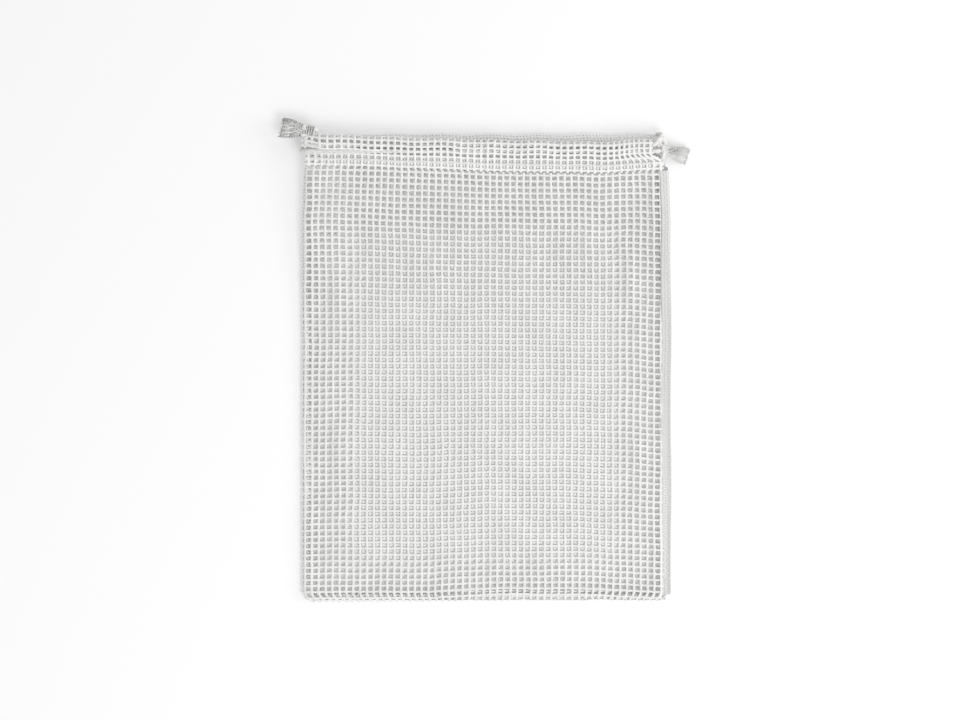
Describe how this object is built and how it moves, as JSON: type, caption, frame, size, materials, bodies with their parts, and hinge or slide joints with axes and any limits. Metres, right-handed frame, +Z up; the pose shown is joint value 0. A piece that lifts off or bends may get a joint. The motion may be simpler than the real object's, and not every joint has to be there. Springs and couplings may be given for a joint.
{
  "type": "mesh laundry bag",
  "caption": "Flat cotton net laundry bag with a folded casing round its mouth and drawcords knotted on opposite sides, each pulling out to gather the mouth.",
  "frame": {"origin": "middle of the cloth's footprint, on the surface that the bag lies on", "axes": "+X across the bag to the right, +Y from the bottom seam to the mouth, +Z up out of the front panel, with the bag lying on its back panel"},
  "size_m": [0.3309, 0.392, 0.0196],
  "materials": {
    "net": "soft spun cotton net, off-white, open square holes, slightly hairy yarns",
    "turned_net": "the same cotton net doubled in the casing and the seams",
    "thread": "off-white spun polyester sewing thread",
    "cord": "soft twisted cotton cord with frayed ends, off-white"
  },
  "bodies": {
    "bag": {"back_panel": "net", "front_panel": "net", "back_hem": "turned_net", "front_hem": "turned_net", "left_side_seam": "turned_net", "right_side_seam": "turned_net", "bottom_seam": "turned_net", "back_hem_thread": "thread", "front_hem_thread": "thread", "bottom_seam_thread": "thread", "left_seam_thread": "thread", "right_seam_thread": "thread"},
    "left_drawcord": {"left_drawcord": "cord", "left_knot": "cord", "left_tail_upper": "cord", "left_tail_lower": "cord"},
    "right_drawcord": {"right_drawcord": "cord", "right_knot": "cord", "right_tail_upper": "cord", "right_tail_lower": "cord"}
  },
  "joints": [
    {"name": "left_cord_pull", "type": "slide", "parent": "bag", "child": "left_drawcord", "axis": [-1, 0, 0], "range_m": [0, 0.07], "deforming": ["front_hem", "back_hem", "front_hem_thread", "back_hem_thread", "right_side_seam", "right_seam_thread"]},
    {"name": "right_cord_pull", "type": "slide", "parent": "bag", "child": "right_drawcord", "axis": [1, 0, 0], "range_m": [0, 0.07], "deforming": ["left_side_seam", "left_seam_thread", "front_panel", "back_panel"]}
  ]
}
